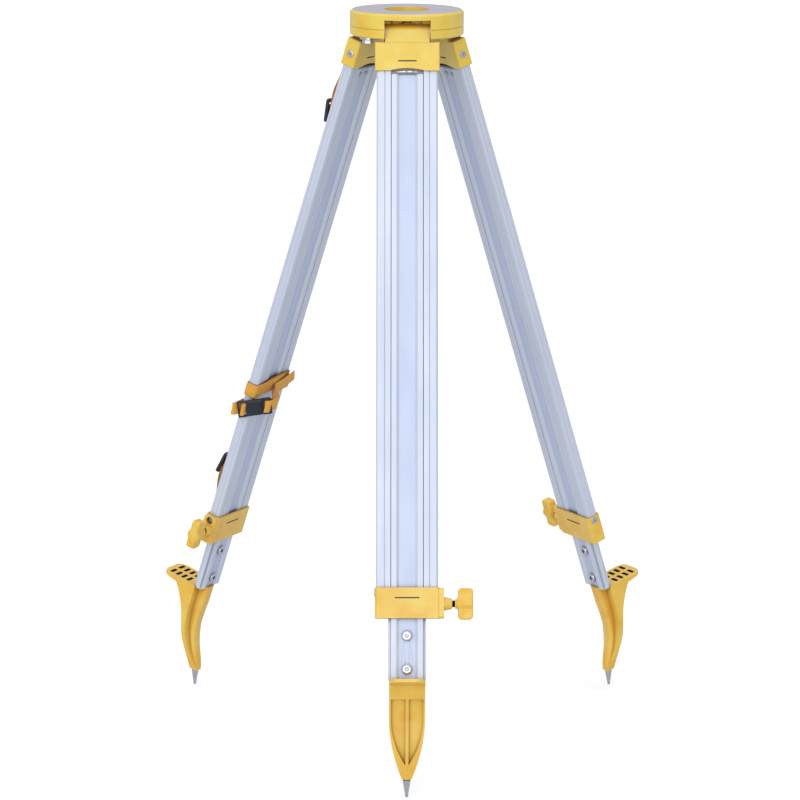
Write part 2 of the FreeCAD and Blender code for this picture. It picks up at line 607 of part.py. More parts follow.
def top_guide():
    """Plastic cap and plug at the head of the lower leg."""
    cap = box(-LOWER_HALF, LOWER_HALF, -LOWER_T / 2, LOWER_T / 2, -LOWER_TOP, -GUIDE_TOP)
    reach = LOWER_HALF + TONGUE_D
    cap = cap.fuse(box(-reach, reach, -TONGUE_W / 2, TONGUE_W / 2, -LOWER_TOP, -GUIDE_TOP))
    plug = box(-PLUG_HALF_U, PLUG_HALF_U, -PLUG_HALF_V, PLUG_HALF_V, -LOWER_TOP - PLUG_L, -LOWER_TOP)
    guide = cap.fuse(plug).removeSplitter()
    for side in (-1, 1):
        u = side * GUIDE_SCREW_U
        guide = guide.cut(cylinder(GUIDE_SCREW_R, (u, -1, -GUIDE_SCREW_AT), (u, LOWER_T, -GUIDE_SCREW_AT)))
    return guide


def guide_screws():
    """Small screws through the channel's floor into the top guide."""
    screws = []
    floor_y = LOWER_T / 2 - CHANNEL_D
    for side in (-1, 1):
        u, z = side * GUIDE_SCREW_U, -GUIDE_SCREW_AT
        shank = cylinder(GUIDE_SCREW_R, (u, -1, z), (u, floor_y, z))
        disc = cylinder(GUIDE_HEAD_R, (u, floor_y, z), (u, floor_y + GUIDE_HEAD_H, z))
        screws.append(shank.fuse(disc).removeSplitter())
    return screws


def leg_bolts():
    """Two through bolts with domed heads on both faces, holding the shoe's tang."""
    bolts = []
    floor_y = LOWER_T / 2 - CHANNEL_D
    for station in LEG_BOLTS_AT:
        bolt = cylinder(LEG_BOLT_R, (0, -floor_y, -station), (0, floor_y, -station))
        for side in (-1, 1):
            bolt = bolt.fuse(domed_disc(LEG_BOLT_HEAD_R, LEG_BOLT_HEAD_H, LEG_BOLT_ROUND,
                                        (0, side * floor_y, -station), (0, side, 0)))
        bolts.append(bolt.removeSplitter())
    return bolts


# ---- Shoe and point ----

def spline(points):
    curve = Part.BSplineCurve()
    curve.interpolate([FreeCAD.Vector(*p) for p in points])
    return curve.toShape()


def line(a, b):
    return Part.LineSegment(FreeCAD.Vector(*a), FreeCAD.Vector(*b)).toShape()


def shoe_profile(outer, inner, back):
    """Side outline between the outer and inner curves, extruded across the shoe."""
    x = -2 * SHOE_HALF
    front = [(x, y, -SHOE_TOP - drop) for y, drop in outer]
    rear = [(x, y, -SHOE_TOP - drop) for y, drop in inner]
    tread = (x, -PEDAL_REACH, -SHOE_TOP)
    tread_under = (x, -PEDAL_REACH, -SHOE_TOP - PEDAL_EDGE)
    top_back = (x, back, -SHOE_TOP)
    edges = [line(top_back, tread), line(tread, tread_under), line(tread_under, front[0]), spline(front),
             line(front[-1], rear[0]), spline(rear), line(rear[-1], top_back)]
    return Part.Face(Part.Wire(edges)).extrude(FreeCAD.Vector(4 * SHOE_HALF, 0, 0))


def shoe_front(half_top, half_end, top, bottom):
    """Front outline that keeps its width and then closes like an ogive."""
    span, closing, y = top - bottom, half_top - half_end, -80.0
    knee = top - 0.38 * span
    right = [(half_top, y, knee), (half_top - 0.10 * closing, y, knee - 0.20 * span),
             (half_top - 0.42 * closing, y, knee - 0.40 * span), (half_end, y, bottom)]
    left = [(-u, y, z) for u, y, z in reversed(right)]
    edges = [line((-half_top, y, top), (half_top, y, top)), line((half_top, y, top), right[0]),
             spline(right), line(right[-1], left[0]), spline(left), line(left[-1], (-half_top, y, top))]
    return Part.Face(Part.Wire(edges)).extrude(FreeCAD.Vector(0, 160.0, 0))


def shoe_pocket(top, mouth):
    """The two recesses beside the front rib, as a shape to cut away."""
    outline = shoe_front(SHOE_HALF - POCKET_RIM, POCKET_TIP_HALF, top - POCKET_TOP, mouth + POCKET_END)
    depth_curve = [(y + POCKET_D, drop) for y, drop in OUTER_CURVE]
    far_curve = [(y + 60.0, drop) for y, drop in PLATE_BACK]
    pocket = outline.cut(shoe_profile(depth_curve, far_curve, 60.0))
    pocket = pocket.cut(box(-RIB_HALF, RIB_HALF, -80, 80, -TIP, top))
    return pocket.cut(box(-SHOE_HALF, SHOE_HALF, -80, POCKET_TO, -TIP, top))


def shoe():
    top, mouth = -SHOE_TOP, -STEEL_TOP
    plate = shoe_profile(OUTER_CURVE, PLATE_BACK, PLATE_FACE)
    plate = plate.common(shoe_front(SHOE_HALF, MOUTH_HALF, top, mouth))
    spine = shoe_profile(OUTER_CURVE, SPINE_BACK, SPINE_FACE)
    spine = spine.common(shoe_front(SPINE_HALF, MOUTH_HALF, top, mouth))
    long_edges = [e for e in spine.Edges if e.Length > 40]
    rear = [e for e in long_edges if e.BoundBox.Center.y > 8 and abs(e.BoundBox.Center.x) > 5]
    casting = plate.fuse(spine.makeFillet(SPINE_ROUND, rear)).removeSplitter()
    casting = casting.cut(shoe_pocket(top, mouth))
    limits = rounded_box(-SHOE_HALF, SHOE_HALF, -PEDAL_REACH, 80, -TIP, top + 10, PEDAL_CORNER)
    casting = casting.common(limits)
    for row in (-1, 1):
        low, high = sorted((row * TREAD_IN, row * TREAD_OUT))
        for step in range(TREAD_ROWS):
            y = -PEDAL_REACH + TREAD_FIRST + TREAD_PITCH * step
            slot = rounded_box(low, high, y, y + TREAD_W, top - TREAD_D, top + 1, TREAD_CORNER)
            casting = casting.cut(slot)
    tang = box(-PLUG_HALF_U, PLUG_HALF_U, -PLUG_HALF_V, PLUG_HALF_V, top - TANG_ROOT, -TANG_TOP)
    casting = casting.fuse(tang).removeSplitter()
    for station in LEG_BOLTS_AT:
        casting = casting.cut(cylinder(LEG_BOLT_R, (0, -LOWER_T, -station), (0, LOWER_T, -station)))
    return casting.cut(steel_point())


def steel_point():
    """Blunt cone below the shoe, with a shank set into it."""
    mouth = FreeCAD.Vector(0, MOUTH_IN, -STEEL_TOP)
    along = FreeCAD.Vector(0, TIP_IN, -TIP) - mouth
    length = along.Length
    along.normalize()
    cone = Part.makeCone(POINT_R, POINT_END_R, length, mouth, along)
    tip = [e for e in cone.Edges if e.BoundBox.ZMax < 2.0 - TIP]
    start = mouth - along * POINT_SHANK_L
    shank = Part.makeCylinder(POINT_SHANK_R, POINT_SHANK_L + 2.0, start, along)
    return shank.fuse(cone.makeFillet(POINT_ROUND, tip)).removeSplitter()


# ---- Straps ----

def binding_turn(station):
    """One turn of webbing round the leg."""
    u_in, v_in = RAIL_OUT + STRAP_CLEAR, RAIL_T / 2 + STRAP_CLEAR
    u_out, v_out = u_in + WEB_T, v_in + WEB_T
    low, high = -station - WEB_W / 2, -station + WEB_W / 2
    outside = rounded_box(-u_out, u_out, -v_out, v_out, low, high, LOOP_IN_R + WEB_T)
    return outside.cut(rounded_box(-u_in, u_in, -v_in, v_in, low - 1, high + 1, LOOP_IN_R))


def binding_strap():
    """Two turns. The lower one is open where the buckle bridges the near inner corner."""
    low, high = -LOOP_AT[1] - WEB_W, -LOOP_AT[1] + WEB_W
    gap = box(RAIL_OUT - 16.0, RAIL_OUT + 5.0, 0.0, RAIL_T, low, high)
    return Part.makeCompound([binding_turn(LOOP_AT[0]), binding_turn(LOOP_AT[1]).cut(gap)])


def buckle_frame(shape):
    """Place a buckle piece built with its length along X across the leg's near inner corner."""
    placed = shape.copy()
    placed.rotate(FreeCAD.Vector(0, 0, 0), FreeCAD.Vector(0, 1, 0), BUCKLE_TILT)
    placed.rotate(FreeCAD.Vector(0, 0, 0), FreeCAD.Vector(0, 0, 1), -BUCKLE_TURN)
    placed.translate(FreeCAD.Vector(BUCKLE_U, BUCKLE_V, -LOOP_AT[1]))
    return placed


def web_window(x0, x1):
    """Slot for the binding webbing in a buckle bar, as a shape to cut away."""
    half = WEB_W / 2 + WEB_ROOM
    return rounded_box(x0, x1, -BUCKLE_T, BUCKLE_T, -half, half, 1.0, "y")


def buckle_socket():
    half_w, half_t, end = BUCKLE_W / 2, BUCKLE_T / 2, BUCKLE_L / 2
    bar_t = half_t - 1.5
    shell = rounded_box(SOCKET_FROM, SOCKET_TO, -half_t, half_t, -half_w, half_w, 3.0, "x")
    bar = rounded_box(SOCKET_TO, end, -bar_t, bar_t, -half_w, half_w, 2.0, "y")
    mouth_t, mouth_w = half_t - SOCKET_WALL, half_w - 2.2
    mouth = box(SOCKET_FROM - 1, SOCKET_DEPTH, -mouth_t, mouth_t, -mouth_w, mouth_w)
    body = shell.fuse(bar).removeSplitter()
    return buckle_frame(body.cut(web_window(SOCKET_TO + 1.5, end - 2.5)).cut(mouth))


def buckle_plug():
    half_w, end = BUCKLE_W / 2, BUCKLE_L / 2
    bar_t = BUCKLE_T / 2 - 0.8
    bar = rounded_box(-end, SOCKET_FROM - 0.2, -bar_t, bar_t, -half_w, half_w, 2.0, "y")
    prongs = [box(SOCKET_FROM - 0.6, PRONG_TO, -1.8, 1.8, z, z + PRONG_W) for z in PRONGS_AT]
    return buckle_frame(bar.cut(web_window(*PLUG_WINDOW)).fuse(prongs).removeSplitter())


def shoulder_strap():
    """Webbing from the anchor under the block, slack along the outward face, to the collar's anchor."""
    inner = [FreeCAD.Vector(0, y, z) for y, z in STRAP_PATH]
    outer = [FreeCAD.Vector(0, y - WEB_T, z) for y, z in STRAP_PATH]
    face = Part.Face(Part.makePolygon(inner + outer[::-1] + inner[:1]))
    strap = face.extrude(FreeCAD.Vector(STRAP_W, 0, 0))
    strap.translate(FreeCAD.Vector(-STRAP_W / 2, 0, 0))
    return strap


def strap_slider(station, stand_off, tilt):
    """Three-bar slider lying on the outside of the shoulder strap."""
    half_u, half_l, window_u = STRAP_W / 2 + SLIDER_RIM, SLIDER_L / 2, STRAP_W / 2 + WEB_ROOM
    frame = rounded_box(-half_u, half_u, -SLIDER_T, 0, -half_l, half_l, 4.0, "y")
    for centre in (-SLIDER_WINDOW, SLIDER_WINDOW):
        low, high = centre - SLIDER_WINDOW_HALF, centre + SLIDER_WINDOW_HALF
        frame = frame.cut(rounded_box(-window_u, window_u, -SLIDER_T - 1, 1, low, high, 1.5, "y"))
    frame.rotate(FreeCAD.Vector(0, 0, 0), FreeCAD.Vector(1, 0, 0), tilt)
    frame.translate(FreeCAD.Vector(0, -stand_off, -station))
    return frame


def strap_anchor(flip, station):
    """Metal loop plate fixed to the outward face, holding the strap's end."""
    half_u, window_u = STRAP_W / 2 + ANCHOR_RIM, STRAP_W / 2 + WEB_ROOM
    low, high = ANCHOR_FACES
    plate = rounded_box(-half_u, half_u, low, high, -ANCHOR_HALF_L, ANCHOR_HALF_L, 3.0, "y")
    plate = plate.cut(rounded_box(-window_u, window_u, low - 1, high + 1, *ANCHOR_SLOT, 1.5, "y"))
    if flip:
        plate = plate.mirror(FreeCAD.Vector(0, 0, 0), FreeCAD.Vector(0, 0, 1))
    plate.translate(FreeCAD.Vector(0, 0, -station))
    return plate


# ---- Write every sub-part ----
os.makedirs("parts", exist_ok=True)

save("head", head())
save("hinge_pins", Part.makeCompound([around(hinge_pin(), az) for az in LEG_AZ.values()]))
save("hinge_washers", Part.makeCompound([around(w, az) for az in LEG_AZ.values() for w in hinge_washers()]))
save("centring_arm", centring_arm())
save("arm_bolt", arm_bolt())
save("screw_carrier", screw_carrier())
save("thrust_washer", thrust_washer())
save("fixing_screw", fixing_screw())
save("fixing_knob", fixing_knob())
save("plumb_hook", plumb_hook())

LEG_PARTS = {
    "hinge_block": hinge_block(),
    "rail_near": rail(1),
    "rail_far": rail(-1),
    "rail_screws": Part.makeCompound(rail_screws()),
    "clamp_collar": clamp_collar(),
    "pressure_pad": pressure_pad(),
    "clamp_screw": clamp_screw(),
    "clamp_knob": clamp_knob(),
    "lower_leg": lower_leg(),
    "top_guide": top_guide(),
    "guide_screws": Part.makeCompound(guide_screws()),
    "leg_bolts": Part.makeCompound(leg_bolts()),
    "shoe": shoe(),
    "steel_point": steel_point(),
}
for leg, azimuth in LEG_AZ.items():
    for node, shape in LEG_PARTS.items():
        save(node + "_" + leg, on_leg(shape, azimuth))

ANCHORS = [strap_anchor(False, ANCHORS_AT[0]), strap_anchor(True, ANCHORS_AT[1])]
STRAP_PARTS = {
    "binding_strap": binding_strap(),
    "buckle_socket": buckle_socket(),
    "buckle_plug": buckle_plug(),
    "shoulder_strap": shoulder_strap(),
    "strap_sliders": Part.makeCompound([strap_slider(*place) for place in SLIDERS]),
    "strap_anchors": Part.makeCompound(ANCHORS),
}
for node, shape in STRAP_PARTS.items():
    save(node, on_leg(shape, LEG_AZ["left"]))
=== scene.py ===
import json
import math
import bmesh
import bpy
from mathutils import Matrix, Vector


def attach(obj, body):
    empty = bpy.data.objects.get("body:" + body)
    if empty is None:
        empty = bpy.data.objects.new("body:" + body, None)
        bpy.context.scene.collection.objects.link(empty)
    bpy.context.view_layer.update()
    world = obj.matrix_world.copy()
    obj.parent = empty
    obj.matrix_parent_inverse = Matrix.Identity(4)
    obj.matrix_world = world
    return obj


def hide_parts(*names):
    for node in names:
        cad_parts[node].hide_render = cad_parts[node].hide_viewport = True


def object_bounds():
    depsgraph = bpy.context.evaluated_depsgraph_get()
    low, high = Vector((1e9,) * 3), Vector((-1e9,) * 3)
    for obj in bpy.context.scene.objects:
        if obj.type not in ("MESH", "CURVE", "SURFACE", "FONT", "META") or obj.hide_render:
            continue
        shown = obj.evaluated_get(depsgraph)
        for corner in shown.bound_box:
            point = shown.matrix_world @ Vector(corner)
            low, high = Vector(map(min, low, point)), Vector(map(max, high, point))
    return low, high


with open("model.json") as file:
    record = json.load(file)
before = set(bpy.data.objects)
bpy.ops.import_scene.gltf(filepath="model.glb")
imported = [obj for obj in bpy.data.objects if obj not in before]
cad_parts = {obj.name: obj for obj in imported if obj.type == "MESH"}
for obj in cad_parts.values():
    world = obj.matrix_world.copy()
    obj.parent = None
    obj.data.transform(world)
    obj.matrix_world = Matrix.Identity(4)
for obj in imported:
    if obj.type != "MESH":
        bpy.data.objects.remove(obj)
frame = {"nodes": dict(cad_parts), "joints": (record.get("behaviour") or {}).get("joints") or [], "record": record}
NODES = frame["nodes"]
JOINTS = {j["name"]: j for j in frame["joints"]}
SLOT_OF = {part["node"]: part["material_slot"] for part in frame["record"]["subparts"]}
LEGS = ("front", "right", "left")
MM = 0.001
cad_low, cad_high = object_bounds()

# ---- Shapes read from the CAD ----

# The CAD's own sizes that the straps, screws and threads repeat, in millimetres and degrees.
# A station is a distance down the leg from its hinge axis.
RAIL_OUT = 42.5           # half width of a leg over its two rails
RAIL_HALF = 8.3           # half thickness of the rails
TURN_AT = (565.0, 587.4)  # stations of the binding strap's two turns
BUCKLE_AT = (RAIL_OUT + 1.0, RAIL_HALF + 6.0)
BUCKLE_TURN = 53.0        # turned from lying flat on the leg's inner face
BUCKLE_TILT = 22.0        # plug end raised
WEB_W = 20.0              # binding strap
STRAP_W = 38.0            # shoulder strap
WEB_T = 1.7               # thickness of both
WEB_OFF = 1.4             # from the rails to the middle of the binding strap's thickness
STRAP_ENDS = (48.5, 783.5)  # stations of the shoulder strap's anchors
SLIDERS = {"upper": (136.0, 19.9, 10.0), "lower": (701.0, 21.5, -11.1)}  # station, stand-off, tilt
# The fixing screw's thread, 5/8 inch with 11 turns to the inch
STUD = dict(radius=7.94, pitch=2.309, depth=1.35, start=-17.9, end=-3.0, chamfer=1.2)
STUD_CORE = (5.5, -78.0)  # radius and lower end of the plain shank under the thread
CLAMP = dict(radius=5.0, pitch=1.5, depth=0.85, end=67.0, chamfer=0.0)  # across the leg
CLAMP_NOSE = (3.0, 4.0)   # radius and length of the plain nose in the pressure pad
# Screw heads: radius, height, recess radius, recess depth, shank radius
BOLT_HEAD = (7.2, 3.6, 3.3, 2.4, 3.0)
PAN_HEAD = (5.2, 1.0, 3.0, 0.9, 3.0)
GUIDE_HEAD = (2.7, 2.0, 1.7, 1.3, 1.6)


def leg_frame(leg):
    """Matrix of a leg's own frame: X across it, Y inward, Z up the leg, origin on its hinge axis."""
    across = -Vector(JOINTS["leg_hinge_" + leg]["axis"]).normalized()
    up = -Vector(JOINTS["leg_slide_" + leg]["axis"]).normalized()
    inward = up.cross(across).normalized()
    made = Matrix((across, inward, up)).transposed().to_4x4()
    made.translation = Vector(JOINTS["leg_hinge_" + leg]["pos_m"])
    return made


LEG = {leg: leg_frame(leg) for leg in LEGS}


def solids_of(node, to_local):
    """(lowest, highest) corner of each separate solid of a CAD node, in the given frame."""
    work = bmesh.new()
    work.from_mesh(NODES[node].data)
    bmesh.ops.remove_doubles(work, verts=work.verts, dist=1e-6)
    left, found = set(work.verts), []
    for first in work.verts:   # by index, as a set's own order changes from run to run
        if first not in left:
            continue
        left.remove(first)
        island, queue = [first], [first]
        while queue:
            for edge in queue.pop().link_edges:
                for other in edge.verts:
                    if other in left:
                        left.remove(other)
                        island.append(other)
                        queue.append(other)
        points = [to_local @ v.co for v in island]
        low = Vector([min(p[i] for p in points) for i in range(3)])
        high = Vector([max(p[i] for p in points) for i in range(3)])
        found.append((low, high))
    work.free()
    return found


# ---- Material building ----

class Shader:
    """A procedural material built from nodes around one Principled shader.

    With a leg given, its patterns lie in that leg's own frame.
    """

    def __init__(self, name, leg=None, **sockets):
        self.material = bpy.data.materials.new(name)
        self.material.use_nodes = True
        self.tree = self.material.node_tree
        self.tree.nodes.clear()
        self.surface = self.add("ShaderNodeBsdfPrincipled")
        out = self.add("ShaderNodeOutputMaterial")
        self.tree.links.new(self.surface.outputs[0], out.inputs[0])
        for socket, value in sockets.items():
            self.surface.inputs[socket.replace("_", " ")].default_value = value
        self.place = self.add("ShaderNodeTexCoord").outputs["Object"]
        if leg:
            inverse = LEG[leg].inverted()
            turned = self.add("ShaderNodeMapping", {"Vector": self.place,
                              "Location": inverse.to_translation(), "Rotation": inverse.to_euler()})
            self.place = turned.outputs[0]

    def add(self, kind, inputs=None, **settings):
        node = self.tree.nodes.new(kind)
        for key, value in settings.items():
            setattr(node, key, value)
        for key, value in (inputs or {}).items():
            self.feed(node.inputs[key], value)
        return node

    def feed(self, socket, value):
        if isinstance(value, bpy.types.NodeSocket):
            self.tree.links.new(value, socket)
        else:
            socket.default_value = value

    def maths(self, operation, *values):
        node = self.add("ShaderNodeMath", operation=operation)
        for index, value in enumerate(values):
            self.feed(node.inputs[index], value)
        return node.outputs[0]

    def mix(self, factor, first, second):
        node = self.add("ShaderNodeMix", data_type="RGBA")
        self.feed(node.inputs[0], factor)
        for index, value in ((6, first), (7, second)):
            linked = isinstance(value, bpy.types.NodeSocket)
            self.feed(node.inputs[index], value if linked else (*value, 1.0))
        return node.outputs[2]

    def between(self, value, low, high, to_low=0.0, to_high=1.0):
        """The value carried from low..high to to_low..to_high, and held at both ends."""
        node = self.add("ShaderNodeMapRange", {0: value, 1: low, 2: high, 3: to_low, 4: to_high})
        return node.outputs[0]

    def noise(self, scale, detail=2.0, stretch=None, vector=None):
        """Noise from 0 to 1, a few of its cells to each 1/scale metres."""
        vector = vector or self.place
        if stretch:
            vector = self.add("ShaderNodeMapping", {"Vector": vector, "Scale": stretch}).outputs[0]
        inputs = {"Vector": vector, "Scale": scale, "Detail": detail}
        return self.add("ShaderNodeTexNoise", inputs).outputs[0]

    def axes(self, vector=None):
        return self.add("ShaderNodeSeparateXYZ", {0: vector or self.place}).outputs

    def inside(self, low, high):
        """1 inside a box given by two corners in millimetres, and 0 outside it."""
        found = None
        for axis, start, end in zip(self.axes(), low, high):
            middle, half = (start + end) / 2 * MM, (end - start) / 2 * MM
            near = self.maths("COMPARE", axis, middle, half)
            found = near if found is None else self.maths("MULTIPLY", found, near)
        return found

    def crevices(self, distance):
        """0 in the open and 1 deep in a gap or corner, for painted shade there."""
        found = self.add("ShaderNodeAmbientOcclusion", {"Distance": distance}, samples=6)
        return self.between(found.outputs["AO"], 0.25, 0.85, 1.0, 0.0)

    def edges(self, radius):
        """1 along sharp outside edges, for a painted highlight there."""
        soft = self.add("ShaderNodeBevel", {"Radius": radius}, samples=4).outputs[0]
        plain = self.add("ShaderNodeNewGeometry").outputs["Normal"]
        dot = self.add("ShaderNodeVectorMath", {0: soft, 1: plain}, operation="DOT_PRODUCT")
        return self.between(dot.outputs["Value"], 0.97, 0.80)

    def bump(self, height, depth, strength=1.0, under=None):
        """Raise the surface by height (0 to 1) times depth in metres, over an earlier bump."""
        inputs = {"Height": height, "Distance": depth, "Strength": strength}
        if under:
            inputs["Normal"] = under
        return self.add("ShaderNodeBump", inputs).outputs[0]

    def finish(self, colour, roughness, normal=None, metallic=None):
        self.feed(self.surface.inputs["Base Color"], colour)
        self.feed(self.surface.inputs["Roughness"], roughness)
        if metallic is not None:
            self.feed(self.surface.inputs["Metallic"], metallic)
        if normal is not None:
            self.feed(self.surface.inputs["Normal"], normal)
        return self.material


def powder_coat(name, colour, light, deep, machined=False, leg=None, shade_boxes=()):
    """Cast aluminium under a glossy coat: orange peel, a painted highlight on the edges, painted shade in the
    corners.

    The boxes in the last argument lie in the leg's frame, as (low, high) corners in millimetres, and are filled
    with near-black painted shade, standing in for the shade deep in slots. machined leaves the top face bare.
    """
    s = Shader(name, leg, Coat_Weight=0.35, Coat_Roughness=0.18)
    tone = s.mix(s.between(s.noise(28.0, 3.0), 0.3, 0.7), colour, light)
    # Painted highlight along the sharp edges
    tone = s.mix(s.maths("MULTIPLY", s.edges(0.0011), 0.55), tone, light)
    # Painted shade in corners and gaps
    tone = s.mix(s.maths("MULTIPLY", s.crevices(0.016), 0.90), tone, deep)
    specks = s.between(s.noise(420.0, 2.0), 0.70, 0.76)
    tone = s.mix(s.maths("MULTIPLY", specks, 0.25), tone, deep)
    rough = s.between(s.noise(95.0, 4.0), 0.3, 0.7, 0.30, 0.46)
    casting = s.bump(s.noise(260.0, 3.0), 0.00025, 0.35)
    peel = s.bump(s.noise(1100.0, 1.0), 0.00006, 0.5, casting)
    # Near-black painted shade inside each box
    for low, high in shade_boxes:
        tone = s.mix(s.maths("MULTIPLY", s.inside(low, high), 0.94), tone, (0.018, 0.014, 0.010))
    if not machined:
        return s.finish(tone, rough, peel)
    # The top face is bare metal with turning rings round the centre hole
    x, y, z = s.axes()
    flat = s.maths("GREATER_THAN", z, -0.0001)
    radius = s.maths("SQRT", s.maths("ADD", s.maths("MULTIPLY", x, x), s.maths("MULTIPLY", y, y)))
    line = s.add("ShaderNodeCombineXYZ", {0: radius}).outputs[0]
    turning = s.noise(5200.0, 2.0, vector=line)
    bands = s.noise(60.0, 2.0, vector=line)
    metal = s.mix(bands, (0.60, 0.58, 0.70), (0.80, 0.76, 0.84))
    metal = s.mix(s.between(s.noise(9.0, 2.0), 0.35, 0.7), metal, (0.74, 0.62, 0.70))
    rings = s.bump(turning, 0.00004, 0.6)
    smooth = s.add("ShaderNodeMix", {0: flat, 4: peel, 5: rings}, data_type="VECTOR").outputs[1]
    rough = s.add("ShaderNodeMix", {0: flat, 2: rough, 3: s.between(turning, 0.3, 0.7, 0.24, 0.36)},
                  data_type="FLOAT").outputs[0]
    return s.finish(s.mix(flat, tone, metal), rough, smooth, flat)


def extrusion(name, leg):
    """Satin anodised aluminium with die lines along the leg and a few rubbed marks."""
    s = Shader(name, leg)
    lines = s.noise(1.0, 3.0, (2600.0, 2600.0, 5.0))
    cloud = s.noise(14.0, 3.0, (1.0, 1.0, 0.35))
    tone = s.mix(s.between(cloud, 0.3, 0.7), (0.66, 0.72, 0.86), (0.76, 0.80, 0.91))
    tone = s.mix(s.between(lines, 0.35, 0.75, 0.0, 0.35), tone, (0.56, 0.61, 0.76))
    panel = s.between(s.maths("ABSOLUTE", s.axes()[0]), 0.0120, 0.0106)  # the bluer channel down the middle
    tone = s.mix(s.maths("MULTIPLY", panel, 0.55), tone, (0.52, 0.60, 0.84))
    # Painted shade, nearly black, in the gaps and creases
    tone = s.mix(s.maths("MULTIPLY", s.crevices(0.009), 0.95), tone, (0.05, 0.055, 0.08))
    scratch = s.between(s.noise(1.0, 1.0, (900.0, 900.0, 26.0)), 0.735, 0.765)
    tone = s.mix(s.maths("MULTIPLY", scratch, 0.45), tone, (0.92, 0.92, 0.95))
    rough = s.between(s.noise(45.0, 4.0, (1.0, 1.0, 0.2)), 0.3, 0.7, 0.36, 0.50)
    normal = s.bump(lines, 0.00005, 0.5)
    normal = s.bump(scratch, 0.00006, 0.5, normal)
    return s.finish(tone, rough, normal, 0.22)


def plated(name, dark, light, low=0.22, high=0.38):
    """Zinc, brass or turned steel: mottled plating with fine tool lines."""
    s = Shader(name)
    cells = s.add("ShaderNodeTexVoronoi", {"Vector": s.place, "Scale": 700.0}).outputs["Color"]
    mottle = s.mix(0.35, s.noise(260.0, 4.0), cells)
    tone = s.mix(mottle, dark, light)
    # Painted shade in sockets, recesses and corners
    tone = s.mix(s.maths("MULTIPLY", s.crevices(0.005), 0.9), tone, [0.12 * c for c in dark])
    normal = s.bump(s.noise(2300.0, 2.0), 0.00003, 0.5)
    return s.finish(tone, s.between(s.noise(160.0, 4.0), 0.3, 0.7, low, high), normal, 1.0)


def moulded(name, dark, light, low, high, grain=0.00005):
    """Moulded plastic with a fine spark-eroded grain, a painted highlight on its edges and painted shade in its
    corners.
    """
    s = Shader(name)
    tone = s.mix(s.between(s.noise(70.0, 3.0), 0.3, 0.7), dark, light)
    # Painted highlight along the edges
    tone = s.mix(s.maths("MULTIPLY", s.edges(0.0007), 0.5), tone, [min(1.0, 1.5 * c + 0.02) for c in light])
    # Painted shade in corners and gaps
    tone = s.mix(s.maths("MULTIPLY", s.crevices(0.006), 0.6), tone, [0.4 * c for c in dark])
    normal = s.bump(s.noise(1900.0, 3.0), grain, 0.7)
    return s.finish(tone, s.between(s.noise(240.0, 3.0), 0.3, 0.7, low, high), normal)


def woven(name, colour, dark, stitch_row):
    """Polyester webbing: raised warp columns crossed by weft picks, with a denser selvedge."""
    s = Shader(name, Sheen_Weight=0.25, Sheen_Roughness=0.4)
    along, across, _ = s.axes(s.add("ShaderNodeUVMap", uv_map="web").outputs[0])
    column = s.maths("DIVIDE", across, 0.0014)
    shift = s.maths("MULTIPLY", s.maths("FLOOR", column), 0.5)
    pick = s.maths("ADD", s.maths("DIVIDE", along, 0.0021), shift)
    ribs = s.maths("ABSOLUTE", s.maths("SINE", s.maths("MULTIPLY", column, math.pi)))
    picks = s.maths("ABSOLUTE", s.maths("SINE", s.maths("MULTIPLY", pick, math.pi)))
    height = s.maths("MULTIPLY", s.maths("POWER", ribs, 0.5), s.maths("POWER", picks, 0.6))
    fibre = s.noise(1.0, 2.0, (5200.0, 900.0, 900.0))
    # Painted shade in the weave's dips, following the same height as the bump
    tone = s.mix(s.between(height, 0.1, 0.9), dark, colour)
    tone = s.mix(s.maths("MULTIPLY", fibre, 0.22), tone, dark)
    tone = s.mix(s.between(s.noise(24.0, 3.0), 0.35, 0.75, 0.0, 0.35), tone, [0.8 * c for c in colour])
    edge = s.between(s.maths("ABSOLUTE", across), stitch_row - 0.0018, stitch_row, 0.0, 0.45)
    tone = s.mix(edge, tone, dark)
    # Red-brown painted shade in folds and where layers meet
    tone = s.mix(s.maths("MULTIPLY", s.crevices(0.010), 0.75), tone, (0.30, 0.08, 0.015))
    normal = s.bump(height, 0.0003, 0.8)
    normal = s.bump(fibre, 0.00004, 0.5, normal)
    return s.finish(tone, s.between(height, 0.0, 1.0, 0.86, 0.66), normal)


# Tones of the two coats: open; paler, for random patches and the painted highlight on edges; deep, for painted
# shade in corners and for specks
YELLOW = ((0.92, 0.60, 0.050), (0.96, 0.74, 0.14), (0.42, 0.15, 0.012))
AMBER = ((0.90, 0.50, 0.045), (0.96, 0.66, 0.12), (0.40, 0.14, 0.012))
# Webbing: open, and darker for fibres, the selvedge and the painted shade in the weave's dips
ORANGE = ((0.98, 0.56, 0.075), (0.72, 0.27, 0.02))

PLAIN = {
    "yellow_casting": powder_coat("yellow_coat", *YELLOW),
    "amber_casting": powder_coat("amber_coat", *AMBER),
    "zinc_steel": plated("zinc_plate", (0.52, 0.54, 0.58), (0.76, 0.77, 0.80)),
    "point_steel": plated("turned_steel", (0.46, 0.47, 0.50), (0.72, 0.73, 0.77), 0.25, 0.42),
    "black_steel": plated("black_oxide", (0.035, 0.035, 0.04), (0.08, 0.08, 0.09), 0.35, 0.5),
    "brass": plated("turned_brass", (0.62, 0.42, 0.14), (0.85, 0.66, 0.30), 0.22, 0.36),
    "amber_plastic": moulded("amber_moulding", *AMBER[:2], 0.28, 0.42),
    "black_plastic": moulded("black_moulding", (0.010, 0.012, 0.020), (0.022, 0.026, 0.040), 0.36, 0.5),
    "grey_plastic": moulded("grey_moulding", (0.20, 0.21, 0.23), (0.28, 0.29, 0.31), 0.45, 0.6),
}
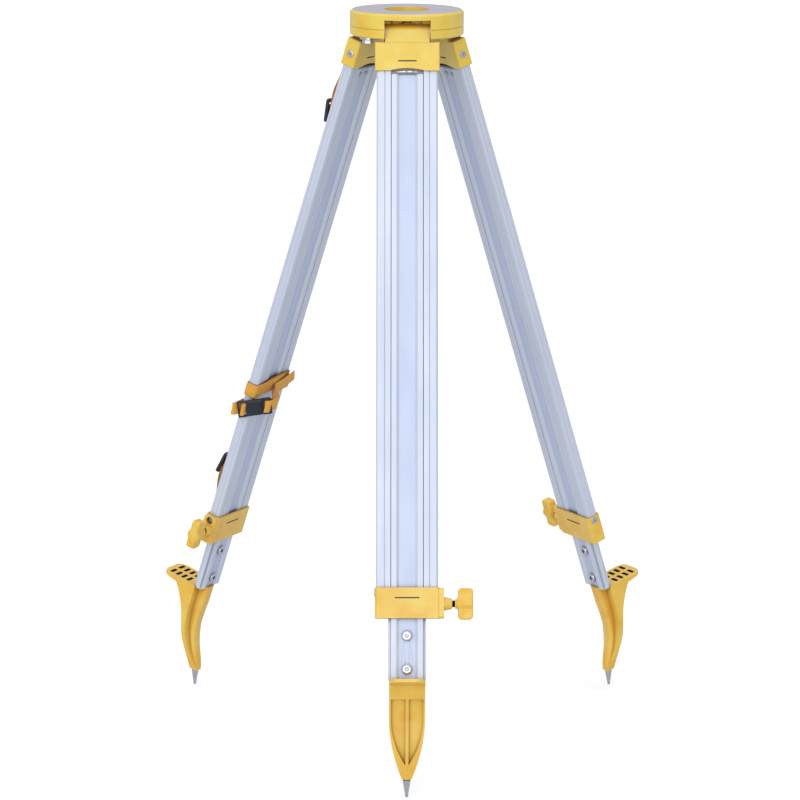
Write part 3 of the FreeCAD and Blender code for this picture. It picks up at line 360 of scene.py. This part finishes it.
# Boxes of near-black painted shade in the shoe's tread slots and in the short lines on the blocks and collars
SLOT_SHADE = [((-19.2, -60.0, -903.0), (19.2, -12.0, -899.35))]
BLOCK_LINE = [((-12.9, -10.85, -44.2), (12.9, 10.85, -41.8))]
COLLAR_LINE = [((-16.9, -11.15, -787.8), (16.9, 11.15, -785.4))]
LEG_COATS = {kind: {leg: powder_coat(prefix + leg, *tones, leg=leg, shade_boxes=shade_boxes) for leg in LEGS}
             for kind, prefix, tones, shade_boxes in (("shoe", "shoe_coat_", AMBER, SLOT_SHADE),
                                                ("hinge_block", "block_coat_", YELLOW, BLOCK_LINE),
                                                ("clamp_collar", "collar_coat_", AMBER, COLLAR_LINE))}
HEAD_COAT = powder_coat("head_coat", *YELLOW, machined=True)
ANODISED = {leg: extrusion("anodised_" + leg, leg) for leg in LEGS}
BINDING = woven("binding_webbing", *ORANGE, WEB_W / 2 * MM)
SHOULDER = woven("shoulder_webbing", *ORANGE, STRAP_W / 2 * MM)
THREAD = moulded("stitching", (0.80, 0.42, 0.06), (0.95, 0.62, 0.16), 0.5, 0.7)

# Width in millimetres of each kind of part's rounded edges
ROUNDING = {"head": 0.5, "hinge_block": 0.8, "clamp_collar": 0.7, "shoe": 0.8, "rail_near": 0.25,
            "rail_far": 0.25, "lower_leg": 0.3, "buckle_socket": 0.7, "buckle_plug": 0.6,
            "strap_sliders": 0.6, "strap_anchors": 0.4, "clamp_knob": 0.4, "fixing_knob": 0.6,
            "centring_arm": 0.5, "arm_bolt": 0.4, "thrust_washer": 0.3, "top_guide": 0.4}
OTHER_ROUNDING = 0.25


def dress_cad_nodes():
    """Give every CAD node its material, and round its edges as the real part's are."""
    for name, node in NODES.items():
        leg = next((x for x in LEGS if name.endswith("_" + x)), None)
        kind = name[:-len(leg) - 1] if leg else name
        slot = SLOT_OF[name]
        if name == "head":
            material = HEAD_COAT
        elif kind in LEG_COATS:
            material = LEG_COATS[kind][leg]
        elif slot == "anodised_extrusion":
            material = ANODISED[leg]
        elif slot == "webbing":
            material = SHOULDER
        else:
            material = PLAIN[slot]
        node.data.materials.clear()
        node.data.materials.append(material)
        for face in node.data.polygons:
            face.use_smooth = True
        weld = node.modifiers.new("weld", "WELD")
        weld.merge_threshold = 2e-6
        bevel = node.modifiers.new("rounding", "BEVEL")
        bevel.width = ROUNDING.get(kind, OTHER_ROUNDING) * MM
        bevel.segments = 2
        bevel.limit_method = "ANGLE"
        bevel.angle_limit = math.radians(32)
        bevel.miter_outer = "MITER_ARC"
        bevel.harden_normals = True
        shade = node.modifiers.new("shade", "WEIGHTED_NORMAL")
        shade.keep_sharp = True


# ---- Building pieces ----

def piece(name, points, faces, material, body, uvs=None):
    """A mesh piece in the row frame that rides on a CAD body."""
    mesh = bpy.data.meshes.new(name)
    mesh.from_pydata([tuple(p) for p in points], [], faces)
    mesh.materials.append(material)
    if uvs:
        layer = mesh.uv_layers.new(name="web")
        for loop in mesh.loops:
            layer.data[loop.index].uv = uvs[loop.vertex_index]
    for face in mesh.polygons:
        face.use_smooth = True
    made = bpy.data.objects.new(name, mesh)
    bpy.context.scene.collection.objects.link(made)
    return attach(made, body)


def face_outward(mesh):
    work = bmesh.new()
    work.from_mesh(mesh)
    bmesh.ops.recalc_face_normals(work, faces=work.faces)
    work.to_mesh(mesh)
    work.free()


def smooth_path(points, step):
    """Points along a Catmull-Rom curve through the given ones, about a step apart."""
    ends = [2 * points[0] - points[1]] + list(points) + [2 * points[-1] - points[-2]]
    line = []
    for i in range(1, len(ends) - 2):
        a, b, c, d = ends[i - 1:i + 3]
        count = max(2, int((c - b).length / step))
        for k in range(count):
            t = k / count
            line.append(0.5 * (2 * b + (c - a) * t + (2 * a - 5 * b + 4 * c - d) * t * t
                               + (3 * b - a - 3 * c + d) * t * t * t))
    return line + [points[-1].copy()]


# ---- Straps on the left leg ----

STRAP_BODY = "upper_leg_left"
TO_WORLD = LEG["left"]
UP = Vector((0, 0, 1))
ACROSS = Vector((1, 0, 0))
SECTION = 28             # points around a webbing section
EDGE_POWER, FACE_POWER = 0.35, 0.8  # how square the section is across its width and its thickness
END_PINCH = 0.72         # thickness left at a heat-cut end
# A stitch's profile: (place along it, radius) as shares of its length and radius
STITCH = ((-0.5, 0.15), (-0.35, 0.85), (0.0, 1.0), (0.35, 0.85), (0.5, 0.15))
STITCH_SIDES = 6
STITCH_PITCH, STITCH_L, STITCH_R = 2.7, 1.9, 0.30


def webbing(name, path, wide, width, material, step=2.5):
    """A closed ribbon that follows a path in leg millimetres, its width along the vector wide."""
    line = smooth_path([Vector(p) for p in path], step)
    points, uvs, faces, run = [], [], [], 0.0
    for i, centre in enumerate(line):
        ahead = (line[min(i + 1, len(line) - 1)] - line[max(i - 1, 0)]).normalized()
        side = (wide - ahead * wide.dot(ahead)).normalized()
        out = side.cross(ahead).normalized()
        if i:
            run += (centre - line[i - 1]).length
        pinch = END_PINCH if i in (0, len(line) - 1) else 1.0
        for k in range(SECTION):
            angle = 2 * math.pi * k / SECTION
            x, y = math.cos(angle), math.sin(angle)
            x = math.copysign(abs(x) ** EDGE_POWER, x) * width / 2
            y = math.copysign(abs(y) ** FACE_POWER, y) * WEB_T / 2 * pinch
            points.append(TO_WORLD @ ((centre + side * x + out * y) * MM))
            uvs.append((run * MM, x * MM))
        if i:
            a, b = (i - 1) * SECTION, i * SECTION
            for k in range(SECTION):
                n = (k + 1) % SECTION
                faces.append((a + k, a + n, b + n, b + k))
    faces.append(tuple(range(SECTION)))
    faces.append(tuple(reversed(range(len(points) - SECTION, len(points)))))
    made = piece(name, points, faces, material, STRAP_BODY, uvs)
    face_outward(made.data)
    return made


def stitches(name, rows):
    """Rows of raised thread stitches. Each row is (start, end, outward), in leg millimetres."""
    points, faces = [], []
    for start, end, out in rows:
        start, end, out = Vector(start), Vector(end), Vector(out).normalized()
        along = (end - start).normalized()
        side = along.cross(out)
        count = max(1, int((end - start).length / STITCH_PITCH))
        for i in range(count):
            centre = start + (end - start) * ((i + 0.5) / count)
            base = len(points)
            for reach, share in STITCH:
                for k in range(STITCH_SIDES):
                    angle = 2 * math.pi * k / STITCH_SIDES
                    spot = centre + along * (STITCH_L * reach)
                    spot += (side * math.cos(angle) + out * math.sin(angle)) * (STITCH_R * share)
                    points.append(TO_WORLD @ (spot * MM))
            last = base + (len(STITCH) - 1) * STITCH_SIDES
            for a in range(base, last, STITCH_SIDES):
                b = a + STITCH_SIDES
                for k in range(STITCH_SIDES):
                    n = (k + 1) % STITCH_SIDES
                    faces.append((a + k, a + n, b + n, b + k))
            faces.append(tuple(base + k for k in reversed(range(STITCH_SIDES))))
            faces.append(tuple(last + k for k in range(STITCH_SIDES)))
    return piece(name, points, faces, THREAD, STRAP_BODY)


def stitched_box(centre, right, down, half_r, half_d, out):
    """The rows of a box with a cross, as sewn where webbing is doubled."""
    c, r, d = Vector(centre), Vector(right).normalized() * half_r, Vector(down).normalized() * half_d
    corners = [c - r - d, c + r - d, c + r + d, c - r + d]
    rows = [(corners[i], corners[(i + 1) % 4], out) for i in range(4)]
    return rows + [(corners[0], corners[2], out), (corners[1], corners[3], out)]


BUCKLE = (Matrix.Translation((*BUCKLE_AT, -TURN_AT[1]))
          @ Matrix.Rotation(math.radians(-BUCKLE_TURN), 4, "Z")
          @ Matrix.Rotation(math.radians(BUCKLE_TILT), 4, "Y"))


def at_buckle(x, y, rise=0.0):
    """A point given along, out of and up the buckle, in leg millimetres."""
    return BUCKLE @ Vector((x, y, rise))


def build_binding_strap():
    """Two turns round the leg, the lower one through the closed buckle, and a loose end."""
    u, v = RAIL_OUT + WEB_OFF, RAIL_HALF + WEB_OFF
    top, low = -TURN_AT[0], -TURN_AT[1]
    upper = [(16, v + 0.2, top + 4.5), (-10, v + 0.2, top + 8.5), (-34, v, top + 9.5),
             (-u + 1.5, v - 1.0, top + 9), (-u, v - 4, top + 8), (-u, 4 - v, top + 6),
             (-u + 1.5, 1.0 - v, top + 5), (-34, -v, top + 3), (0, -v - 0.3, top + 1),
             (34, -v, top - 0.5), (u - 1.5, 1.0 - v, top - 1), (u, 4 - v, top - 1),
             (u, v - 4, top - 0.6), (u - 1.5, v - 1.0, top), (34, v + 0.4, top + 1.5),
             (16, v + 2.0, top + 4.5), (-8, v + 2.4, top + 8), (-26, v + 2.3, top + 9.5)]
    band = webbing("binding_upper_turn", upper, UP, WEB_W, BINDING)
    lower = [at_buckle(-11.8, -3.2), at_buckle(-13.2, 0.4), at_buckle(-17.4, 3.4), at_buckle(-22.5, 3.0),
             at_buckle(-27.0, -1.0), at_buckle(-34.0, -8.0, 1.0), (0, v + 3.8, low + 22),
             (-18, v + 4.6, low + 25), (-34, v + 4.4, low + 26), (-u - 0.6, v + 1.6, low + 25),
             (-u - 2.0, v - 4, low + 23), (-u - 1.4, 0, low + 17), (-u - 0.4, 4 - v, low + 11),
             (-u + 1.5, 0.6 - v, low + 8), (-34, -v, low + 5), (0, -v - 0.3, low - 2), (34, -v, low - 6),
             at_buckle(32.0, -7.5, -0.5), at_buckle(27.0, -5.8), at_buckle(22.6, -4.6),
             at_buckle(20.9, -1.6), at_buckle(19.2, 2.2), at_buckle(16.8, 3.0), at_buckle(14.7, 1.8),
             at_buckle(14.2, -1.4), at_buckle(15.4, -4.2)]
    webbing("binding_lower_turn", lower, UP, WEB_W - 1.5, BINDING)
    tail = [at_buckle(-13.6, -4.4, 0.3), at_buckle(-22.0, -4.0, 0.6), at_buckle(-32.0, -6.0, 1.4),
            (2, v + 6.4, low + 20), (-14, v + 6.8, low + 26), (-30, v + 6.6, low + 31),
            (-45, v + 7.4, low + 37)]
    webbing("binding_tail", tail, UP, WEB_W - 2.0, BINDING)
    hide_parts("binding_strap")
    rows = stitched_box((16, v + 3.2, top + 4.4), (1, 0, -0.14), (0, 0, 1), 8, 7, (0, 1, 0))
    stitches("binding_stitches", rows)


def build_shoulder_strap():
    """One long run between the anchors, bowed off the leg where each slider holds a loop."""
    top, low = -STRAP_ENDS[0], -STRAP_ENDS[1]
    path = [(0, -11.6, top - 3.0), (0, -13.0, top - 6.5), (0, -14.9, top - 10.5), (0, -16.4, top - 18),
            (0, -21.0, -94), (0, -22.2, -108), (0, -20.6, -124), (0, -17.4, -142), (0, -14.9, -160),
            (0, -14.5, -200), (0, -14.4, -330), (0, -14.7, -480), (0, -14.4, -640), (0, -15.2, -676),
            (0, -18.9, -696), (0, -22.6, -714), (0, -23.0, -726), (0, -18.6, -748), (0, -15.4, -768),
            (0, -14.6, low + 9.5), (0, -13.0, low + 6.0), (0, -11.6, low + 3.0)]
    strap = webbing("shoulder_webbing", path, ACROSS, STRAP_W, SHOULDER, 3.5)
    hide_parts("shoulder_strap")
    rows = []
    # Place along the leg, place of the webbing's face and its slope, next to each anchor
    for along, face, slope in ((-74.0, -18.7, 0.17), (-760.0, -17.3, -0.16)):
        rows += stitched_box((0, face, along), (1, 0, 0), (0, slope, -1), 13, 7, (0, -1, 0))
    stitches("shoulder_stitches", rows)
    for name, (station, stand_off, tilt) in SLIDERS.items():
        turn = Matrix.Rotation(math.radians(tilt), 4, "X")
        loop = [(0, -1.6, 8.5), (0, -5.3, 3.2), (0, -5.7, 0), (0, -5.3, -3.2), (0, -1.6, -8.5)]
        path = [turn @ Vector(p) + Vector((0, -stand_off, -station)) for p in loop]
        webbing("strap_loop_" + name, path, ACROSS, STRAP_W - 1.0, SHOULDER, 2.0)


# ---- Screw heads and threads ----

RING = 48                # points around a screw
THREAD_STEPS = 8         # rings in each turn of a thread
THREAD_GAP = 0.1         # between a thread's end and the plain shank
HEAD_SIDE = 0.42         # share of a screw head's height that is straight
HEAD_CROWN = 0.62        # share of its radius that the dome closes in to
HEAD_TURNS = (15, 35, 55, 75)  # degrees round the dome
CREASE = 40              # edges sharper than this many degrees stay crisp


def hexagon(angle):
    """Radius factor of a hexagon with unit corners."""
    return math.cos(math.pi / 6) / math.cos((angle % (math.pi / 3)) - math.pi / 6)


def cross(angle):
    """Radius factor of a cross recess."""
    return 0.34 + 0.66 * abs(math.cos(2 * angle)) ** 5


def lathed(rings, base, along):
    """Points and faces of a closed body. Each ring is (radius, height, shape) around base."""
    base, along = Vector(base), Vector(along).normalized()
    first = along.orthogonal().normalized()
    second = along.cross(first)
    points, faces = [], []
    for radius, height, shape in rings:
        for k in range(RING):
            angle = 2 * math.pi * k / RING
            reach = radius * (shape(angle) if shape else 1.0)
            outward = first * math.cos(angle) + second * math.sin(angle)
            points.append(base + along * height + outward * reach)
    for ring in range(len(rings) - 1):
        for k in range(RING):
            n = (k + 1) % RING
            a, b = ring * RING, (ring + 1) * RING
            faces.append((a + k, a + n, b + n, b + k))
    faces.append(tuple(reversed(range(RING))))
    faces.append(tuple(range(len(points) - RING, len(points))))
    return points, faces


def head_rings(head, shape, length):
    """Profile of a domed screw head with a recess of the given shape, on a shank of the length."""
    radius, height, recess, depth, shank = head
    profile = [(shank, -length, None), (shank, -0.02, None),
               (radius, 0.0, None), (radius, HEAD_SIDE * height, None)]
    for turn in HEAD_TURNS:
        inward, up = math.cos(math.radians(turn)), math.sin(math.radians(turn))
        profile.append((radius * (HEAD_CROWN + (1 - HEAD_CROWN) * inward),
                        height * (HEAD_SIDE + (1 - HEAD_SIDE) * up), None))
    rim = recess * 1.14
    profile += [(rim, height, None), (recess, height - 0.12, shape), (recess * 0.97, height - depth, shape),
                (0.15, height - depth - 0.1, None)]
    return profile


def joined(bodies):
    """Several closed bodies as one list of points and one of faces."""
    points, faces = [], []
    for some_points, some_faces in bodies:
        start = len(points)
        points += some_points
        faces += [tuple(start + i for i in face) for face in some_faces]
    return points, faces


def sharp_piece(name, bodies, material, to_world, body, replaced):
    """A piece with crisp edges that is shown in place of a CAD node."""
    points, faces = joined(bodies)
    made = piece(name, [to_world @ (p * MM) for p in points], faces, material, body)
    face_outward(made.data)
    made.data.set_sharp_from_angle(angle=math.radians(CREASE))
    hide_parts(replaced)
    return made


def build_screws(leg):
    """Real heads in place of the plain ones. Their places are read from the CAD's solids."""
    local = LEG[leg].inverted()
    bolts, pans, guides = [], [], []
    for low, high in solids_of("leg_bolts_" + leg, local):
        middle = (low + high) / 2 / MM
        foot = (high.y - low.y) / 2 / MM - BOLT_HEAD[1]
        for side in (-1, 1):
            rings = head_rings(BOLT_HEAD, hexagon, foot)
            bolts.append(lathed(rings, middle + Vector((0, side * foot, 0)), (0, side, 0)))
    for low, high in solids_of("rail_screws_" + leg, local):
        middle = (low + high) / 2 / MM
        side = 1 if middle.x > 0 else -1
        tip = (high.x if side > 0 else low.x) / MM
        rings = head_rings(PAN_HEAD, cross, (high.x - low.x) / MM - PAN_HEAD[1])
        pans.append(lathed(rings, (tip - side * PAN_HEAD[1], middle.y, middle.z), (side, 0, 0)))
    for low, high in solids_of("guide_screws_" + leg, local):
        middle = (low + high) / 2 / MM
        rings = head_rings(GUIDE_HEAD, cross, (high.y - low.y) / MM - GUIDE_HEAD[1])
        guides.append(lathed(rings, (middle.x, high.y / MM - GUIDE_HEAD[1], middle.z), (0, 1, 0)))
    zinc, lower = PLAIN["zinc_steel"], "lower_leg_" + leg
    sharp_piece("bolt_heads_" + leg, bolts, zinc, LEG[leg], lower, "leg_bolts_" + leg)
    sharp_piece("guide_screw_heads_" + leg, guides, zinc, LEG[leg], lower, "guide_screws_" + leg)
    sharp_piece("pan_heads_" + leg, pans, zinc, LEG[leg], "upper_leg_" + leg, "rail_screws_" + leg)


def threaded(radius, pitch, depth, start, end, chamfer):
    """Rings of a helical thread: a V groove that climbs one pitch in each turn."""
    count = int((end - start) / pitch * THREAD_STEPS)
    rings = []
    for i in range(count + 1):
        height = start + (end - start) * i / count
        limit = radius - max(0.0, height - (end - chamfer))

        def groove(angle, height=height, limit=limit):
            phase = (height / pitch - angle / (2 * math.pi)) % 1.0
            return min(radius - depth * (1.0 - abs(2.0 * phase - 1.0)), limit) / radius

        rings.append((radius, height, groove))
    return rings


def build_threads():
    """Real helices in place of the plain fixing screw and clamp screws."""
    core, core_low = STUD_CORE
    rings = [(core, core_low, None), (core, STUD["start"] - THREAD_GAP / 2, None)]
    rings += threaded(**STUD)
    sharp_piece("fixing_screw_thread", [lathed(rings, (0, 0, 0), (0, 0, 1))], PLAIN["brass"],
                Matrix.Identity(4), "fixing_screw", "fixing_screw")
    nose, nose_l = CLAMP_NOSE
    radius, end = CLAMP["radius"], CLAMP["end"]
    for leg in LEGS:
        low, high = solids_of("clamp_screw_" + leg, LEG[leg].inverted())[0]
        middle, tip = (low + high) / 2 / MM, low.x / MM
        rings = [(nose, tip, None), (nose, tip + nose_l, None)]
        rings += threaded(start=tip + nose_l + THREAD_GAP, **CLAMP)
        rings += [(radius, end + THREAD_GAP, None), (radius, high.x / MM, None)]
        sharp_piece("clamp_thread_" + leg, [lathed(rings, (0, middle.y, middle.z), (1, 0, 0))],
                    PLAIN["black_steel"], LEG[leg], "clamp_screw_" + leg, "clamp_screw_" + leg)


dress_cad_nodes()
build_binding_strap()
build_shoulder_strap()
for leg in LEGS:
    build_screws(leg)
build_threads()

# ---- Floor, light and camera ----

FLOOR_HALF = 40
WORLD_COLOUR, WORLD_STRENGTH = (0.93, 0.96, 1.0, 1.0), 0.62
FLOOR_GLOW = 0.30        # keeps the floor white, as it lights nothing itself
LENS, SENSOR = 161.98, 36.0
CAMERA_AWAY, CAMERA_RISE = 5.051, 0.513  # metres from the row's origin, level and up
CAMERA_SIDE = math.radians(0.79)
CAMERA_TURNS = (("Z", -0.71), ("X", 78.0), ("Z", 0.27))  # the last one is its roll

floor_z = cad_low.z
floor_mesh = bpy.data.meshes.new("floor")
corners = [(x * FLOOR_HALF, y * FLOOR_HALF, floor_z) for x, y in ((-1, -1), (1, -1), (1, 1), (-1, 1))]
floor_mesh.from_pydata(corners, [], [(0, 1, 2, 3)])
floor = bpy.data.objects.new("floor", floor_mesh)
bpy.context.scene.collection.objects.link(floor)
floor.visible_diffuse = False
floor.visible_glossy = False
pale = Shader("pale_floor", Emission_Color=(1.0, 1.0, 1.0, 1.0), Emission_Strength=FLOOR_GLOW)
pale_tone = pale.mix(pale.noise(3.0, 2.0), (0.90, 0.90, 0.90), (0.92, 0.92, 0.92))
floor_mesh.materials.append(pale.finish(pale_tone, 0.9))

world = bpy.data.worlds.new("studio")
bpy.context.scene.world = world
world.use_nodes = True
background = world.node_tree.nodes["Background"].inputs
background["Color"].default_value = WORLD_COLOUR
background["Strength"].default_value = WORLD_STRENGTH


def sun(name, towards, strength, softness):
    """A distant light that shines from the given direction, softness degrees wide."""
    data = bpy.data.lights.new(name, "SUN")
    data.energy = strength
    data.angle = math.radians(softness)
    light = bpy.data.objects.new(name, data)
    light.rotation_mode = "QUATERNION"
    light.rotation_quaternion = Vector(towards).to_track_quat("Z", "Y")
    bpy.context.scene.collection.objects.link(light)


sun("key", towards=(-0.26, -0.90, 0.22), strength=1.30, softness=60)
sun("overhead", towards=(0.05, 0.10, 1.0), strength=0.6, softness=60)

camera_data = bpy.data.cameras.new("camera")
camera_data.lens = LENS
camera_data.sensor_width = SENSOR
camera = bpy.data.objects.new("camera", camera_data)
bpy.context.scene.collection.objects.link(camera)
pose = Matrix.Translation((-CAMERA_AWAY * math.sin(CAMERA_SIDE), -CAMERA_AWAY * math.cos(CAMERA_SIDE),
                           CAMERA_RISE))
for axis, degrees in CAMERA_TURNS:
    pose = pose @ Matrix.Rotation(math.radians(degrees), 4, axis)
camera.matrix_world = pose
bpy.context.scene.camera = camera
bpy.context.scene.view_settings.view_transform = "Standard"
